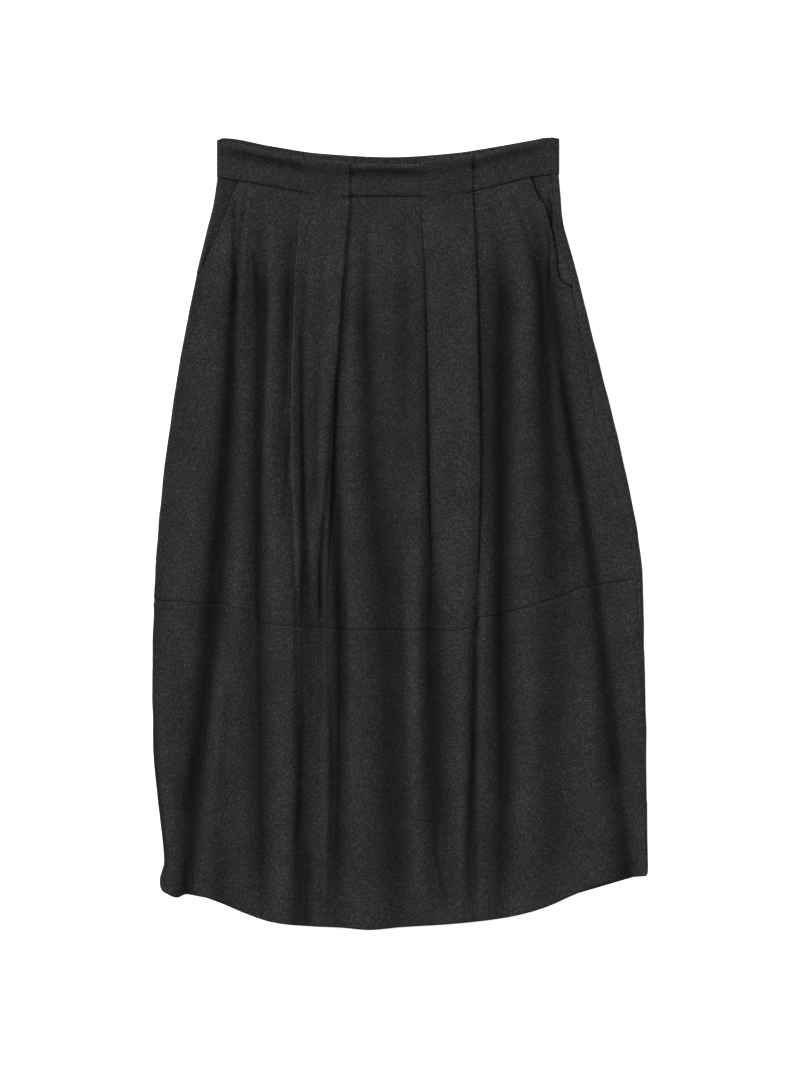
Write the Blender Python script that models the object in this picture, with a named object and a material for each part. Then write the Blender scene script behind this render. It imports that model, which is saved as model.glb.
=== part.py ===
"""Pleated midi skirt in charcoal wool, laid flat on its back.

+X runs to the right across the front, +Y runs up to the waist and +Z away from the surface that the
skirt lies on. The origin is at the middle of the underside. All sizes below are in millimetres, and
the meshes are made in metres.

The front is one cloth from side seam to side seam. Across it runs a row of folds: soft waves, which
are ridges and troughs, and turned edges, where the cloth doubles back under itself. Four of the
turned edges make the two box pleats, which run up over the waistband to the rim. Down the cloth, a
level says where a row lies: 0 is the waist seam, 1 the seam round the knee and 2 the hem.
"""

import math
from collections import namedtuple

import bmesh
import bpy

MM = 0.001

# Cloth
CLOTH = 1.5  # thickness of one layer of wool
BAND = 2.4  # thickness of the doubled waistband
GAP = 0.3  # between pieces at a seam
SIDE_GAP = 0.5  # between the front and the back at a side seam, where they turn the edge
TURN = 1.15  # radius of the cloth's middle where it doubles back
LEAST_TURN = 0.85  # an edge that would turn tighter than this opens instead
FOOT = 2.6  # the low side of an edge stays low for this far past it
FOOT_RISE = 0.25

# Heights of the cloth's middle above the surface
BACK_Z = CLOTH / 2
BAND_BACK_Z = BAND / 2
BAND_FRONT_Z = 6.0
FACING_Z = 2.6  # where a pocket facing lies on the back
FACING_DROP = 2.4  # how far a facing drops below the pocket's mouth

# Construction
TAB_RISE = 0.6  # how far a pleat climbs between the waist seam and the rim
BAND_UNDERLAP = 5.0  # how far a waistband section runs on under a pleat
FACING_UNDERLAP = 9.0  # how far a facing runs on under the front
FACING_TOP = 0.9  # how far a facing stops short of the waist seam
LIP = 1.6  # spacing of the first points in from a front's edge
TRIM = 0.35  # but the very first is this near it, so that the edge is cut square
BACK_HEM_LIFT = 2.0  # the back's hem lies this much higher than the front's
BACK_HEM_FADE = 25.0  # but not at the side seams, over this distance
BACK_PLEATS = ((-101.5, -46.0), (17.0, 73.0))  # the back's two pleats, left and right edges

# Levels of the rows of each panel
UPPER_ROWS = (0, 0.03, 0.075, 0.14, 0.2, 0.25, 0.3, 0.4, 0.5, 0.6, 0.73, 0.87, 1)
LOWER_ROWS = (1, 1.1, 1.23, 1.36, 1.5, 1.64, 1.78, 1.9, 1.96, 2)
LEFT_FACING_ROWS = (0, 0.03, 0.075, 0.14, 0.2, 0.225)
RIGHT_FACING_ROWS = (0, 0.03, 0.075, 0.14, 0.2, 0.25, 0.275)

# The seams and edges that cross the skirt, as points (x, y)
BACK_RIM = ((-191, 413), (-186, 415), (-135, 406.5), (-85, 399), (-10, 395), (54, 399), (104, 406.5),
            (140, 413), (155, 415.5), (166, 414))
FRONT_RIM = ((-191, 411.5), (-175, 409.5), (-137, 401), (-97, 393), (-48, 388), (17, 387), (46, 392.5),
             (76, 396.5), (104, 403), (138, 411), (166, 413.5))
WAIST_SEAM = ((-191, 373.5), (-147, 365.5), (-102, 357.5), (-50, 353), (26, 353), (76, 358.5),
              (108, 366), (141, 374), (166, 377))
KNEE_SEAM = ((-257, -70), (-202, -73), (-154, -82), (-142, -94), (-104, -97.5), (-37, -101),
             (54, -101.5), (73, -99), (86, -87.5), (96, -86.5), (115, -82), (166, -67), (189, -58),
             (256, -46))
BACK_KNEE_SEAM = ((-257, -70), (-150, -86), (0, -92), (150, -72), (256, -46))
HEM = ((-254, -371), (-246, -377), (-234, -382), (-224, -378.5), (-211, -380), (-186, -388.5),
       (-161, -399), (-135, -407.5), (-110, -411), (-60, -413.5), (-33, -415.7), (1, -413), (54, -409.5),
       (104, -404), (129, -399), (154, -391.5), (180, -380), (205, -369.5), (230, -362), (259, -359))

# The outline at each level. The side seam lies on top of the right edge, this far in from it. The
# radius is that of the rounded side edges.
Side = namedtuple("Side", "level left right right_seam radius")
SIDES = (
    Side(0.00, -191.0, 166.0, 8.0, 2.625),
    Side(0.06, -195.0, 168.0, 7.0, 2.7),
    Side(0.12, -201.5, 170.5, 6.0, 2.8),
    Side(0.20, -210.0, 180.0, 6.0, 3.0),
    Side(0.30, -219.5, 191.0, 9.0, 3.2),
    Side(0.45, -232.0, 207.0, 12.0, 3.5),
    Side(0.60, -242.0, 223.0, 17.0, 3.8),
    Side(0.75, -250.0, 237.5, 13.0, 4.0),
    Side(0.90, -255.5, 250.0, 8.0, 4.0),
    Side(1.00, -257.5, 254.0, 6.0, 4.0),
    Side(1.20, -259.5, 255.5, 4.0, 3.8),
    Side(1.50, -258.5, 257.5, 1.0, 3.4),
    Side(1.75, -251.5, 258.5, 0.0, 2.8),
    Side(1.90, -247.0, 259.0, 0.0, 2.6),
    Side(1.97, -252.0, 259.5, 0.0, 2.6),
    Side(2.00, -250.5, 259.0, 0.0, 2.6),
)

# How far in from the outline the front's edge lies along each pocket's mouth
LEFT_MOUTH = ((0, 24), (0.05, 18), (0.12, 15), (0.165, 10), (0.2, 7), (0.235, 3), (0.26, 0))
RIGHT_MOUTH = ((0, 29), (0.05, 22), (0.075, 16), (0.14, 12.5), (0.2, 15.5), (0.25, 19), (0.28, 16),
               (0.3, 9))

# The front's folds from left to right, at six levels: the waist, hip, thigh, knee, calf and hem.
# A wave is a ridge or a trough, at x across the skirt and z above the surface. An edge is where the
# cloth doubles back: it lies at x, the cloth is low on one side of it and high on the other, and
# runs under the high side by this much, or slopes over it where that is negative.
FOLD_LEVELS = (0, 0.26, 0.6, 1, 1.45, 2)
Wave = namedtuple("Wave", "name x z")
Edge = namedtuple("Edge", "name high_side x low high under")
FOLDS = (
    Wave("flank", (-160.5, -187.9, -201, -225.1, -242.7, -238.4), (6.2, 9.3, 10.6, 12.4, 12.9, 5.5)),
    Wave("flank trough", (-158.5, -171.5, -178.5, -192.1, -205.2, -222.4), (6.1, 3.6, 2.6, 2.6, 2.6, 2.6)),
    Wave("hip ridge", (-156.5, -163.4, -167.4, -175, -190.7, -208.7), (6.2, 8.3, 7.7, 8, 9.3, 6.3)),
    Wave("hip dip", (-154.5, -159.4, -163.4, -169.2, -181.6, -190.9), (6.2, 7.1, 9.1, 9.1, 7.1, 4.6)),
    Wave("hip crest", (-152.5, -155.1, -156.5, -159.6, -168.6, -166.8), (6.2, 7.6, 8, 8, 7.8, 5.3)),
    Edge("tuck", "left", (-150, -145.8, -149.9, -151.7, -149.7, -148.8),
         (6, 5.8, 5, 5, 4.9, 5.2), (6.2, 6.1, 5.7, 6.7, 5.9, 5.7), (-6, -5, -4, -4, -4, -4)),
    Wave("tuck ridge", (-132, -131.9, -136.1, -124.4, -120.9, -124.9), (6.3, 11.8, 11.7, 13, 12.5, 6.1)),
    Wave("pleat trough", (-110, -116.8, -119.7, -112.1, -111.2, -114.2), (6, 6.1, 8.1, 13, 11.8, 5)),
    Edge("left pleat outer", "right", (-103, -110.4, -112.7, -101.6, -99.7, -102.6),
         (6, 6.9, 8.1, 10, 7, 4.4), (10.6, 11.3, 12.5, 10.3, 7.3, 4.9), (20, 6, 1, -5, -6, -6)),
    Wave("pleat crease ridge", (-98, -106.4, -108.7, -97.6, -95.7, -98.6), (10.6, 10.4, 10.9, 7.5, 6.1, 3.9)),
    Wave("pleat crease", (-89, -98.5, -100.5, -93.6, -91.7, -94.6), (10.6, 8.1, 6.3, 5.2, 6, 4.9)),
    Wave("pleat face", (-81, -91.8, -94.3, -89.6, -87.7, -90.6), (10.6, 10.9, 8.7, 6, 7.9, 5.5)),
    Wave("pleat face dip", (-74.5, -81.7, -86.1, -85.6, -83.7, -86.6), (10.6, 10.1, 7.6, 7.1, 8.4, 6.3)),
    Wave("pleat flap", (-64, -72.1, -79.6, -81.6, -79.7, -82.6), (10.6, 12.3, 12.1, 6.4, 9.7, 5.4)),
    Edge("left pleat inner", "left", (-53.5, -63.7, -72.6, -77.6, -75.7, -78.6),
         (6, 8.6, 6, 8.4, 6.3, 5.5), (10.6, 13, 10.4, 8.7, 10.1, 6), (20, 12, 8, -2, -5, -5)),
    Wave("flap trough", (-49, -55.1, -63.3, -62.1, -63.1, -67.4), (6, 8.2, 7.8, 4.5, 4.3, 5.6)),
    Wave("flap ridge", (-42, -47.5, -52.2, -46.4, -44.1, -41.3), (6.2, 11.1, 13, 13, 12.8, 6.3)),
    Wave("centre trough", (-31.5, -34.6, -29.6, -13.9, -8.8, -3.4), (6, 6.5, 7.4, 6.1, 5.4, 5)),
    Wave("centre swell", (-13.5, -19.1, -8.5, 2.5, 4.8, 8.4), (6.2, 9.9, 9, 6.9, 7.1, 5.3)),
    Wave("centre dip", (6, 6.3, 7.6, 9.4, 10.5, 14.1), (6, 6, 8.7, 10.8, 9.7, 5.4)),
    Wave("centre ridge", (15, 18.1, 20.8, 16.3, 16.8, 21.1), (6.2, 9.9, 10.8, 12.9, 12.3, 5.5)),
    Edge("right pleat inner", "right", (24, 29.3, 32.2, 35.4, 39.2, 41.2),
         (6, 8.6, 7.8, 5.9, 6.3, 5.8), (10.6, 13, 12.2, 6.2, 6.6, 6.3), (20, 10, 4, -3, -6, -6)),
    Wave("right pleat crest", (39, 38.9, 42.6, 56.1, 61, 59.9), (10.6, 13, 13, 12, 11.5, 5.5)),
    Wave("right pleat dip", (50, 55.5, 53.4, 62.6, 65, 63.9), (10.4, 13, 13, 13, 12.5, 6.2)),
    Wave("right pleat face", (64, 71.1, 70.3, 69.6, 69.8, 67.9), (10.6, 13, 13, 13, 11, 5.4)),
    Edge("right pleat outer", "left", (79, 84.6, 79.6, 77.8, 74.8, 74),
         (6, 8.6, 8.6, 8.2, 6.5, 5.5), (10.6, 13, 13, 9.4, 7.7, 6), (20, 10, 5, -2, -3, -4)),
    Wave("rib", (88, 96.4, 92.4, 87.1, 86.1, 85.3), (6.2, 8.8, 8.8, 11.7, 10.8, 6.3)),
    Wave("deep trough", (98, 110.8, 109.7, 107.1, 110.4, 103.6), (6, 4.2, 2.6, 2.6, 3.7, 5.3)),
    Wave("thigh ridge", (112, 133.9, 130.8, 134.7, 136.1, 127.6), (6.3, 11.6, 13, 13, 13, 6.2)),
    Wave("thigh trough", (118, 148, 158.7, 163.8, 159.7, 161.9), (6.1, 3.8, 4.5, 7.9, 8.6, 5.4)),
    Wave("side swell", (122, 154, 169.3, 190.3, 200, 209), (6.2, 6, 7.5, 6.3, 8.2, 6.2)),
    Wave("side trough", (125, 159, 177.9, 205.6, 219.6, 239), (6.1, 4.6, 2.6, 2.6, 2.6, 3.2)),
    Wave("side ridge", (128, 164.5, 197.2, 221.1, 237.8, 247), (6.2, 6.6, 7.6, 7, 6.5, 5)),
)
STEPS = 2  # stretches between one fold and the next
TROUGH_SHAPE = 0.66  # below 1, troughs are narrower than the ridges between them
ARC_STEPS = 3  # stretches round each half of a doubled edge
EDGE_STEPS = 3  # stretches round a quarter of a side edge

# The waistband's relief, from the waist seam up to the rim
BAND_RELIEF = ((0, 0), (0.35, 0.2), (0.7, -0.4), (0.86, 0.5), (1, 0.3))
TAB_ROWS = (1, 0.5)  # where a pleat has rows above the waist seam, as a share of the band's height

WOOL = {"colour": (0.034, 0.034, 0.034), "roughness": 0.92}


# ---- Curves -------------------------------------------------------------------------------------


def slopes(xs, ys):
    """The slope at each point of a smooth curve that never swings past its own points."""
    rises = [(ys[i + 1] - ys[i]) / (xs[i + 1] - xs[i]) for i in range(len(xs) - 1)]
    inner = [0 if a * b <= 0 else 2 * a * b / (a + b) for a, b in zip(rises, rises[1:])]
    return [rises[0], *inner, rises[-1]]


def curve(points, level_ends=False):
    """A smooth function through points (x, y) in order of x. level_ends makes it start and end flat."""
    xs, ys = zip(*points)
    rates = slopes(xs, ys)
    if level_ends:
        rates[0] = rates[-1] = 0

    def at(x):
        i = max(i for i in range(len(xs) - 1) if i == 0 or xs[i] <= x)
        width = xs[i + 1] - xs[i]
        t = min(max((x - xs[i]) / width, 0), 1)
        return (
            ys[i] * (1 + 2 * t) * (1 - t) ** 2
            + ys[i + 1] * t * t * (3 - 2 * t)
            + width * t * (1 - t) * (rates[i] * (1 - t) - rates[i + 1] * t)
        )

    return at


def mix(a, b, share):
    return a + (b - a) * share


(A, B), (C, D) = BACK_PLEATS
BACK_COLUMNS = [A - 60, A - 40, A - 20, A - GAP, A, mix(A, B, 0.5), B, B + GAP, mix(B, C, 0.5), C - GAP, C,
                mix(C, D, 0.5), D, D + GAP, D + 20, D + 40, D + 60, D + 75]

back_rim, front_rim, waist_seam = curve(BACK_RIM), curve(FRONT_RIM), curve(WAIST_SEAM)
knee_seam, back_knee_seam, hem = curve(KNEE_SEAM), curve(BACK_KNEE_SEAM), curve(HEM)
left_out = curve([(side.level, side.left) for side in SIDES])
right_out = curve([(side.level, side.right) for side in SIDES])
right_seam_in = curve([(side.level, side.right_seam) for side in SIDES])
side_radius = curve([(side.level, side.radius) for side in SIDES])
left_mouth, right_mouth = curve(LEFT_MOUTH), curve(RIGHT_MOUTH)


def at_levels(values):
    return curve(list(zip(FOLD_LEVELS, values)))


FOLD_CURVES = [
    type(fold)(*(at_levels(value) if isinstance(value, tuple) else value for value in fold))
    for fold in FOLDS
]


# ---- Cross-sections: points (x, z) across the skirt at one level -----------------------------------


def rolled_edge(along, radius, base):
    """A side edge, rounded from the surface to the top. along is the way round it from its outermost
    point, up and then inwards, or down and inwards where it is negative. Gives (inset, z)."""
    quarter = math.pi * radius / 2
    turn = min(abs(along), quarter) / radius
    inset = radius * (1 - math.cos(turn)) + max(abs(along) - quarter, 0)
    return inset, base + radius + math.copysign(radius * math.sin(turn), along)


def way_to(inset, radius):
    """The way round a side edge to a point of its top that lies this far in from the outline."""
    if inset < radius:
        return radius * math.acos(1 - inset / radius)
    return math.pi * radius / 2 + inset - radius


def doubled_edge(x, low, high, under):
    """The cloth round an edge whose high side is on the right, from its low end to its high end."""
    rise = high - low
    if under * abs(under) < 4 * rise * LEAST_TURN - rise**2:
        under = min(under, -math.sqrt(max(4 * rise * LEAST_TURN - rise**2, 0)))
    radius = min(TURN, 0.96 * (under**2 + rise**2) / (4 * rise))
    across, up = -under, rise - 2 * radius
    between = math.hypot(across, up)
    heading = math.atan2(up, across) + math.asin(min(2 * radius / between, 1))
    turns = [heading * i / ARC_STEPS for i in range(ARC_STEPS + 1)]
    foot = (x + min(under, 0) - FOOT, low + FOOT_RISE)
    lower = [foot] + [(x + under + radius * math.sin(a), low + radius * (1 - math.cos(a))) for a in turns]
    upper = [(x - radius * math.sin(a), high - radius * (1 - math.cos(a))) for a in reversed(turns)]
    return lower + upper


def edge_points(edge, level):
    x, low, high, under = (values(level) for values in edge[2:])
    if edge.high_side == "right":
        return doubled_edge(x, low, high, under)
    return [(-px, pz) for px, pz in reversed(doubled_edge(-x, low, high, under))]


def front_edge(level, right):
    """The few points next to the front's left or right edge, from the edge inwards, as (x, z)."""
    radius = side_radius(level)
    if right:
        inset = max(right_seam_in(level), right_mouth(level) if level < 0.3 else 0)
    else:
        inset = left_mouth(level) if level < 0.26 else 0
    start = way_to(inset, radius) + SIDE_GAP / 2
    ways = [start, start + TRIM] + [start + LIP * i for i in range(1, EDGE_STEPS + 1)]
    points = [rolled_edge(way, radius, BACK_Z) for way in ways]
    if right:
        return [(right_out(level) - inward, z) for inward, z in points]
    return [(left_out(level) + inward, z) for inward, z in points]


def front_section(level):
    """The front's cloth at a level, from its left edge to its right edge, as stretches of points. A
    stretch is ("run", points) between folds, or (edge's name, points) round a doubled edge."""
    stretches = []
    points = front_edge(level, right=False)
    start, knots = points, [points[-1]]
    for fold in FOLD_CURVES:
        if isinstance(fold, Wave):
            knots.append((fold.x(level), fold.z(level)))
            continue
        turned = edge_points(fold, level)
        stretches.append(("run", run(knots + [turned[0]])))
        stretches.append((fold.name, turned))
        knots = [turned[-1]]
    points = front_edge(level, right=True)
    stretches.append(("run", run(knots + [points[-1]])))
    stretches.insert(0, ("left edge", start))
    stretches.append(("right edge", points[::-1]))
    return stretches


def run(knots):
    """The cloth between its doubled edges: a wave through the ridges and troughs. Troughs are narrower
    than ridges."""
    height = curve(knots, level_ends=True)
    zs = [z for _, z in knots]
    turns = [i in (0, len(zs) - 1) or (zs[i] - zs[i - 1]) * (zs[i + 1] - zs[i]) <= 0 for i in range(len(zs))]
    points = []
    for i, (a, b) in enumerate(zip(knots, knots[1:])):
        for share in [step / STEPS for step in range(STEPS)]:
            x = mix(a[0], b[0], share)
            if turns[i] and turns[i + 1]:
                rise = share**TROUGH_SHAPE if a[1] < b[1] else 1 - (1 - share) ** TROUGH_SHAPE
                points.append((x, mix(a[1], b[1], rise * rise * (3 - 2 * rise))))
            else:
                points.append((x, height(x)))
    return [*points, knots[-1]]


def joined(stretches):
    """All the points of a section in one row, each end shared by two stretches counted once."""
    return [stretches[0][1][0]] + [p for _, points in stretches for p in points[1:]]


def back_section(level):
    """The back at a level: down from the left seam, flat on the surface, and round the right edge to
    the right seam on top."""
    radius = side_radius(level)
    quarter = math.pi * radius / 2
    left, right = left_out(level), right_out(level)
    steps = [i / EDGE_STEPS for i in range(EDGE_STEPS + 1)]
    down = [SIDE_GAP / 2, SIDE_GAP / 2 + TRIM] + [mix(SIDE_GAP / 2, quarter, s) for s in steps[1:]]
    points = [(left + inset, z) for inset, z in (rolled_edge(-way, radius, BACK_Z) for way in down)]
    points += [(x, BACK_Z) for x in BACK_COLUMNS]
    seam = way_to(right_seam_in(level), radius) - SIDE_GAP / 2
    round_it = [-quarter * (1 - s) for s in steps] + [mix(0, seam - TRIM, s) for s in steps[1:]] + [seam]
    if seam < TRIM:
        round_it = [mix(-quarter, seam, i / (2 * EDGE_STEPS)) for i in range(2 * EDGE_STEPS)]
        round_it += [seam - TRIM, seam]
    return points + [(right - inset, z) for inset, z in (rolled_edge(w, radius, BACK_Z) for w in round_it)]


# ---- Surfaces: rows of points (x, y, z) ------------------------------------------------------------


def seam_gap(seam, x):
    """Half the gap at a seam, measured up the skirt, which is more where the seam runs steeply."""
    return GAP / 2 * (1 + (seam(x + 0.5) - seam(x - 0.5)) ** 2)


def panel(section, levels, top, bottom, first, last):
    """A panel's surface. Its top edge follows the curve top at the level first, its bottom edge the
    curve bottom at the level last, and each thread runs straight between them."""
    tops = [top(x) - seam_gap(top, x) for x, _ in section(first)]
    bottoms = [bottom(x) + seam_gap(bottom, x) for x, _ in section(last)]
    return [
        [(x, mix(a, b, (level - first) / (last - first)), z)
         for (x, z), a, b in zip(section(level), tops, bottoms)]
        for level in levels
    ]


def front_points(level):
    return joined(front_section(level))


def front_hem(x):
    return hem(x) - GAP / 2


def back_hem(x):
    inward = min(x - left_out(2), right_out(2) - x)
    return hem(x) + mix(GAP / -2, BACK_HEM_LIFT, min(inward / BACK_HEM_FADE, 1))


def band_section(x_from, x_to, base, columns):
    """A section of the front waistband: its threads run up from the waist seam to the rim."""
    xs = [mix(x_from, x_to, i / columns) for i in range(columns + 1)]
    return [
        [(x, mix(waist_seam(x) + GAP, front_rim(x), share), base + relief) for x in xs]
        for share, relief in BAND_RELIEF
    ]


def band_edge(right, front):
    """The rounded end of the waistband, as (x, z) from its seam to where it lies flat."""
    radius = (BAND_FRONT_Z - BAND_BACK_Z) / 2
    quarter = math.pi * radius / 2
    out, seam = (right_out(0), way_to(right_seam_in(0), radius)) if right else (left_out(0), 0)
    toward = -1 if right else 1
    shares = [i / EDGE_STEPS for i in range(EDGE_STEPS + 1)]
    if front:
        ways = [mix(seam + GAP, max(quarter, seam + LIP), s) for s in shares]
    elif right:
        ways = [mix(seam - GAP, 0, s) for s in shares] + [-quarter * s for s in shares[1:]]
    else:
        ways = [-mix(GAP, quarter, s) for s in shares]
    ways.insert(1, ways[0] + math.copysign(TRIM, ways[1] - ways[0]))
    points = [rolled_edge(way, radius, BAND_BACK_Z) for way in ways]
    return [(out + toward * inset, z) for inset, z in points]


def with_end(rows, end, rim, at_start):
    """Band rows with a rounded end joined on, which fades the relief out."""
    longer = []
    for row, (share, _) in zip(rows, BAND_RELIEF):
        turned = [(x, mix(waist_seam(x) + GAP, rim(x), share), z) for x, z in end]
        longer.append(turned + row[1:] if at_start else row[:-1] + turned[::-1])
    return longer


# ---- Solids ----------------------------------------------------------------------------------------


def material(name, looks):
    made = bpy.data.materials.new(name)
    made.use_nodes = True
    shader = made.node_tree.nodes["Principled BSDF"]
    shader.inputs["Base Color"].default_value = (*looks["colour"], 1)
    shader.inputs["Roughness"].default_value = looks["roughness"]
    return made


def square_off(row, i):
    """The unit direction out of the cloth at one point of a row, square to the row."""
    x, z = (row[min(i + 1, len(row) - 1)][k] - row[max(i - 1, 0)][k] for k in (0, 2))
    if 0 < i < len(row) - 1:
        steps = [(b[0] - a[0], b[2] - a[2]) for a, b in ((row[i - 1], row[i]), (row[i], row[i + 1]))]
        x, z = (sum(step[k] / math.hypot(*step) for step in steps) for k in (0, 1))
    size = math.hypot(x, z)
    return -z / size, x / size


def faced(row, side):
    """A row of points moved half the cloth's thickness out to one side of its middle."""
    out = [square_off(row, i) for i in range(len(row))]
    return [(x + side * ox, y, z + side * oz) for (x, y, z), (ox, oz) in zip(row, out)]


def close_edge(mesh, upper, lower, start, end):
    """Two triangles across the cut edge of a wall, split from the upper side of its later corner to
    the lower side of its earlier one, so that both walls at a seam are split alike."""
    (i, j), (k, m) = start, end
    if start < end:
        mesh.faces.new((upper[k][m], upper[i][j], lower[i][j]))
        mesh.faces.new((upper[k][m], lower[i][j], lower[k][m]))
    else:
        mesh.faces.new((upper[k][m], upper[i][j], lower[k][m]))
        mesh.faces.new((upper[i][j], lower[i][j], lower[k][m]))


def wall(name, rows, thickness, looks, missing=()):
    """A cloth wall round a surface given as rows of points from left to right, the top row first. The
    stretches between points that missing gives, as (row, column), are left out."""
    mesh = bmesh.new()
    sides = [
        [[mesh.verts.new([c * MM for c in point]) for point in faced(row, half)] for row in rows]
        for half in (thickness / 2, -thickness / 2)
    ]
    upper, lower = sides
    cells = {
        (r, c) for r in range(len(rows) - 1) for c in range(len(rows[0]) - 1) if (r, c) not in missing
    }
    for r, c in sorted(cells):
        corners = [(r, c), (r + 1, c), (r + 1, c + 1), (r, c + 1)]
        mesh.faces.new([upper[i][j] for i, j in corners])
        mesh.faces.new([lower[i][j] for i, j in reversed(corners)])
        beyond = [(r, c - 1), (r + 1, c), (r, c + 1), (r - 1, c)]
        for start, end, cell in zip(corners, corners[1:] + corners[:1], beyond):
            if cell not in cells:
                close_edge(mesh, upper, lower, start, end)
    for vertex in [vertex for vertex in mesh.verts if not vertex.link_faces]:
        mesh.verts.remove(vertex)
    bmesh.ops.recalc_face_normals(mesh, faces=mesh.faces)
    data = bpy.data.meshes.new(name)
    mesh.to_mesh(data)
    mesh.free()
    data.materials.append(looks)
    node = bpy.data.objects.new(name, data)
    bpy.context.scene.collection.objects.link(node)


def tab_columns(stretches):
    """The stretches of the front that run on up over the waistband: each pleat's face and the upper
    half of the doubled edges at its two sides."""
    columns, at, inside = set(), 0, False
    for name, points in stretches:
        if name in ("left pleat outer", "right pleat inner"):
            inside = True
            columns |= set(range(at + ARC_STEPS + 2, at + len(points) - 1))
        elif name in ("left pleat inner", "right pleat outer"):
            inside = False
            columns |= set(range(at, at + ARC_STEPS))
        elif inside:
            columns |= set(range(at, at + len(points) - 1))
        at += len(points) - 1
    return columns


def front_upper(looks):
    stretches = front_section(0)
    kept = tab_columns(stretches)
    points = joined(stretches)
    tabs = [
        [(x, mix(waist_seam(x), front_rim(x), share), z + TAB_RISE * share) for x, z in points]
        for share in TAB_ROWS
    ]
    missing = {(r, c) for r in range(len(TAB_ROWS)) for c in range(len(points)) if c not in kept}
    rows = panel(front_points, UPPER_ROWS, waist_seam, knee_seam, 0, 1)
    wall("front_upper", tabs + rows, CLOTH, looks, missing)


def back_upper(looks):
    rows = panel(back_section, UPPER_ROWS, waist_seam, back_knee_seam, 0, 1)
    tab = [(x, back_rim(x), z) for x, _, z in rows[0]]
    kept = {c for c, (a, b) in enumerate(zip(tab, tab[1:]))
            if a[2] == BACK_Z and any(left <= a[0] and b[0] <= right for left, right in BACK_PLEATS)}
    missing = {(0, c) for c in range(len(tab)) if c not in kept}
    wall("back_upper", [tab] + rows, CLOTH, looks, missing)


def front_band(looks):
    (_, left_edge), (_, *_rest) = front_section(0)[0], front_section(0)[1]
    pleats = {f.name: f.x(0) for f in FOLD_CURVES if isinstance(f, Edge)}
    left_end = band_edge(right=False, front=True)
    right_end = band_edge(right=True, front=True)
    left = band_section(left_end[-1][0], pleats["left pleat outer"] + BAND_UNDERLAP, BAND_FRONT_Z, 5)
    centre = band_section(pleats["left pleat inner"] - BAND_UNDERLAP,
                          pleats["right pleat inner"] + BAND_UNDERLAP, BAND_FRONT_Z, 6)
    right = band_section(pleats["right pleat outer"] - BAND_UNDERLAP, right_end[-1][0], BAND_FRONT_Z, 5)
    wall("band_front_left", with_end(left, left_end, front_rim, True), BAND, looks)
    wall("band_front_centre", centre, BAND, looks)
    wall("band_front_right", with_end(right, right_end, front_rim, False), BAND, looks)


def back_band(looks):
    (a, b), (c, d) = BACK_PLEATS
    spans = {
        "left": (band_edge(right=False, front=False), None, a - GAP),
        "centre": (None, b + GAP, c - GAP),
        "right": (band_edge(right=True, front=False), d + GAP, None),
    }
    for name, (end, x_from, x_to) in spans.items():
        x_from = end[-1][0] if x_from is None else x_from
        x_to = end[-1][0] if x_to is None else x_to
        xs = [x_from, *(x for x in BACK_COLUMNS if x_from + 1 < x < x_to - 1), x_to]
        flat = [(x, BAND_BACK_Z) for x in xs]
        if name == "left":
            flat = end + flat[1:]
        if name == "right":
            flat = flat[:-1] + end[::-1]
        rows = [[(x, mix(waist_seam(x) + GAP / 2, back_rim(x), s), z) for x, z in flat] for s in (0, 0.5, 1)]
        wall("band_back_" + name, rows, BAND, looks)


def facing(name, levels, right, looks):
    """A pocket facing: it is sewn to the back at the side seam, drops away below the front's edge at
    the pocket's mouth and runs on a little way under the front."""
    mouth, out = (right_mouth, right_out) if right else (left_mouth, left_out)

    def section(level):
        radius = side_radius(level)
        seam = way_to(right_seam_in(level) if right else 0, radius) + SIDE_GAP / 2
        opening = way_to(mouth(level), radius)
        top = BACK_Z + 2 * radius
        flat = max(seam + LIP, math.pi * radius / 2)
        drop = curve([(flat - 0.01, 0), (max(opening - 0.5, flat + 0.8), FACING_DROP),
                      (opening + FACING_UNDERLAP, top - FACING_Z)], level_ends=True)
        ways = [seam, seam + TRIM, mix(seam, flat, 0.5)]
        ways += [mix(flat, opening + FACING_UNDERLAP, i / 6) for i in range(7)]
        points = []
        for way in ways:
            inset, z = rolled_edge(way, radius, BACK_Z)
            points.append((out(level) + (-inset if right else inset), z - (drop(way) if way > flat else 0)))
        return points

    edge = section(0)[0][0]
    first, last = waist_seam(edge), knee_seam(out(1))
    rows = []
    for level in levels:
        rows.append([(x, mix(waist_seam(x) - FACING_TOP if level == 0 else first, last, level), z)
                     for x, z in section(level)])
    return wall(name, rows, CLOTH, looks)


def build():
    for old in list(bpy.data.objects):
        bpy.data.objects.remove(old)
    wool = material("wool_flannel", WOOL)
    front_upper(wool)
    wall("front_lower", panel(front_points, LOWER_ROWS, knee_seam, front_hem, 1, 2), CLOTH, wool)
    back_upper(wool)
    wall("back_lower", panel(back_section, LOWER_ROWS, back_knee_seam, back_hem, 1, 2), CLOTH, wool)
    front_band(wool)
    back_band(wool)
    facing("pocket_facing_left", LEFT_FACING_ROWS, False, wool)
    facing("pocket_facing_right", RIGHT_FACING_ROWS, True, wool)


build()
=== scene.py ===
"""Pleated midi skirt in charcoal wool flannel, laid flat on its back and seen from straight above.

The cloth is made in the same way as the solids that it replaces: from sections across the skirt at
many levels, from the waist seam (level 0) past the seam round the knee (1) to the hem (2). What is
finer than the solids is added on top: the waistband's roll, the seams' grooves and the small creases.
All sizes are in millimetres, and the meshes are made in metres.
"""

import math
from collections import namedtuple

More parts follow.
